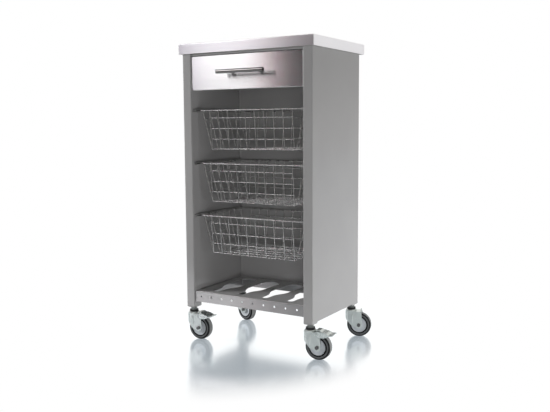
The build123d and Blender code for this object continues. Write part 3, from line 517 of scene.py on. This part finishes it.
def floor_material():
    """A pale floor that shows white to the camera, keeps the shadow and mirrors the object a little."""
    material = bpy.data.materials.new("floor")
    material.use_nodes = True
    tree = material.node_tree
    tree.nodes.remove(tree.nodes["Principled BSDF"])
    output = tree.nodes["Material Output"]
    path = tree.nodes.new("ShaderNodeLightPath")
    seen = maths(tree, "MAXIMUM", path.outputs["Is Camera Ray"], path.outputs["Is Glossy Ray"])
    seen = maths(tree, "MAXIMUM", seen, path.outputs["Is Transmission Ray"])
    diffuse = add_node(tree, "ShaderNodeBsdfDiffuse", {"Color": floor_grey})
    glow = add_node(tree, "ShaderNodeEmission", {"Color": floor_glow, "Strength": floor_glow_level})
    lit = add_node(tree, "ShaderNodeAddShader", {0: diffuse.outputs[0], 1: glow.outputs[0]})
    gloss = add_node(tree, "ShaderNodeBsdfGlossy", {"Color": white, "Roughness": floor_roughness})
    shown = add_node(tree, "ShaderNodeMixShader", {0: floor_mirror_share, 1: lit.outputs[0],
                                                   2: gloss.outputs[0]})
    # Far from the object the floor runs out into the white background, and sooner to the right
    place = tree.nodes.new("ShaderNodeNewGeometry").outputs["Position"]
    away = vector_maths(tree, "LENGTH", vector_maths(tree, "MULTIPLY_ADD", place, fade_stretch, fade_shift))
    far = rescale(tree, away, *fade_range, 0.0, 1.0, True)
    far = maths(tree, "MULTIPLY", far, path.outputs["Is Camera Ray"])
    background = add_node(tree, "ShaderNodeEmission", {"Color": white, "Strength": 1.0})
    shown = add_node(tree, "ShaderNodeMixShader", {0: far, 1: shown.outputs[0], 2: background.outputs[0]})
    bounce = add_node(tree, "ShaderNodeBsdfDiffuse", {"Color": floor_grey})
    whole = add_node(tree, "ShaderNodeMixShader", {0: seen, 1: bounce.outputs[0], 2: shown.outputs[0]})
    tree.links.new(whole.outputs[0], output.inputs["Surface"])
    return material


def add_floor(name, front, back, only_seen):
    """A strip of floor between two distances. One that is only seen sends the object no light."""
    left, right = -floor_reach_sideways, floor_reach_sideways
    mesh = bpy.data.meshes.new(name)
    corners = [(left, front, 0.0), (right, front, 0.0), (right, back, 0.0), (left, back, 0.0)]
    mesh.from_pydata(corners, [], [(0, 1, 2, 3)])
    mesh.materials.append(pale_floor)
    floor = bpy.data.objects.new(name, mesh)
    scene.collection.objects.link(floor)
    floor.location.z = floor_height
    if only_seen:
        floor.visible_diffuse = False
        floor.visible_glossy = False
        floor.visible_shadow = False


# World: white behind the object, a strip of studio light to the front left and a dark gap around it
# Ranges are parts of a direction of length one: east to the right, south to the front, rise upward
room_tint = (1.0, 0.99, 0.97)
room_back_left, room_back_right, room_front = 1.05, 0.86, 0.6
room_below = 0.25
left_to_right = (-0.2, 0.2)
back_to_front = (-0.25, 0.35)
front_range = (0.0, 0.4)
horizon_range = (-0.25, 0.0)
deep_range = (-0.42, -0.27)
gap_range = (-0.82, -0.74, -0.34, -0.22)
gap_level = 0.01
strip_level = 4.5
strip_softness = 0.003
strip_edges = ((-0.6175, -0.5265), (-0.616, -0.5295), (-0.618, -0.529))
strip_rise = (0.08, 0.28, 0.6, 0.7)
soft_left, soft_right = 0.01, 0.08
soft_tint = (1.0, 0.995, 1.0, 1.0)


def add_world():
    """White for the camera, a studio for reflections and a soft grey for the rest of the light."""
    world = bpy.data.worlds.new("studio")
    scene.world = world
    world.cycles.sampling_method = "NONE"
    world.use_nodes = True
    tree = world.node_tree
    tree.nodes.remove(tree.nodes["Background"])
    output = tree.nodes["World Output"]
    path = tree.nodes.new("ShaderNodeLightPath")
    coordinates = tree.nodes.new("ShaderNodeTexCoord")
    direction = add_node(tree, "ShaderNodeSeparateXYZ", {0: coordinates.outputs["Generated"]})
    east = direction.outputs["X"]
    south = maths(tree, "MULTIPLY", direction.outputs["Y"], -1.0)
    rise = direction.outputs["Z"]
    # The room is whitest at the back left and greyer to the right and in front
    back = rescale(tree, east, *left_to_right, room_back_left, room_back_right, True)
    frontward = rescale(tree, south, *back_to_front, 0.0, 1.0, True)
    room = between(tree, "FLOAT", frontward, back, room_front)
    # It is darker in front just below the horizon, but not far below it
    in_front = rescale(tree, south, *front_range, 0.0, 1.0, True)
    not_deep = rescale(tree, rise, *deep_range, 0.0, 1.0, True)
    low = maths(tree, "MULTIPLY", rescale(tree, rise, *horizon_range, 1.0, 0.0, True), not_deep)
    below = maths(tree, "MULTIPLY", in_front, low)
    room = maths(tree, "MULTIPLY", room, rescale(tree, below, 0.0, 1.0, 1.0, room_below))
    # A dark gap to the left of the front, and in it a narrow strip light whose edges are slightly tinted
    gap = maths(tree, "MULTIPLY", band(tree, east, *gap_range), in_front)
    gap = maths(tree, "MULTIPLY", gap, not_deep)
    room = maths(tree, "MULTIPLY", room, rescale(tree, gap, 0.0, 1.0, 1.0, gap_level))
    raised = maths(tree, "MULTIPLY", band(tree, rise, *strip_rise), in_front)
    channels = []
    for tint, (left, right) in zip(room_tint, strip_edges):
        strip = band(tree, east, left - strip_softness, left + strip_softness, right - strip_softness,
                     right + strip_softness)
        strip = maths(tree, "MULTIPLY", maths(tree, "MULTIPLY", strip, raised), strip_level)
        channels.append(maths(tree, "ADD", maths(tree, "MULTIPLY", room, tint), strip))
    studio = add_node(tree, "ShaderNodeCombineXYZ", dict(enumerate(channels)))
    # The soft light comes mostly from the right
    soft = rescale(tree, east, 0.0, 1.0, soft_left, soft_right)
    ambient = add_node(tree, "ShaderNodeBackground", {"Color": soft_tint, "Strength": soft})
    mirrored = add_node(tree, "ShaderNodeBackground", {"Color": studio.outputs[0], "Strength": 1.0})
    background = add_node(tree, "ShaderNodeBackground", {"Color": white, "Strength": 1.0})
    light = add_node(tree, "ShaderNodeMixShader", {0: path.outputs["Is Glossy Ray"], 1: ambient.outputs[0],
                                                   2: mirrored.outputs[0]})
    seen = maths(tree, "MAXIMUM", path.outputs["Is Camera Ray"], path.outputs["Is Transmission Ray"])
    whole = add_node(tree, "ShaderNodeMixShader", {0: seen, 1: light.outputs[0], 2: background.outputs[0]})
    tree.links.new(whole.outputs[0], output.inputs["Surface"])


# Lamps: the place of each, the point it faces, its width, its height and its power
lamps = {
    "key_light": ((-1.9, -0.9, 0.85), (0.0, 0.0, 0.5), 0.6, 1.2, 38.8),
    "front_light": ((0.9, -1.5, 0.15), (-0.1, 0.0, 0.2), 0.5, 0.2, 7.4),
    "right_light": ((1.8, -0.45, 0.2), (0.0, -0.12, 0.3), 0.3, 0.3, 5.0),
    "low_light": ((0.9, 0.25, 0.1), (0.2, 0.1, 0.1), 0.7, 0.15, 3.3),
    "side_light": ((0.5, 0.6, 0.6), (0.2, 0.1, 0.6), 0.3, 0.6, 0.7),
    "back_light": ((-0.6, 1.9, 0.9), (0.0, 0.2, 0.5), 0.8, 1.2, 14.0),
}


def add_softbox(name, place, aim, width, height, power):
    """A rectangular lamp that faces a point and is not itself seen or mirrored."""
    data = bpy.data.lights.new(name, "AREA")
    data.shape = "RECTANGLE"
    data.size = width
    data.size_y = height
    data.energy = power
    lamp = bpy.data.objects.new(name, data)
    scene.collection.objects.link(lamp)
    lamp.location = place
    lamp.rotation_mode = "QUATERNION"
    lamp.rotation_quaternion = (Vector(aim) - Vector(place)).to_track_quat("-Z", "Y")
    lamp.visible_glossy = False
    lamp.visible_camera = False


pale_floor = floor_material()
add_floor("floor", floor_split, floor_reach, False)
add_floor("floor_front", -floor_reach, floor_split, True)
add_world()
for name, values in lamps.items():
    add_softbox(name, *values)
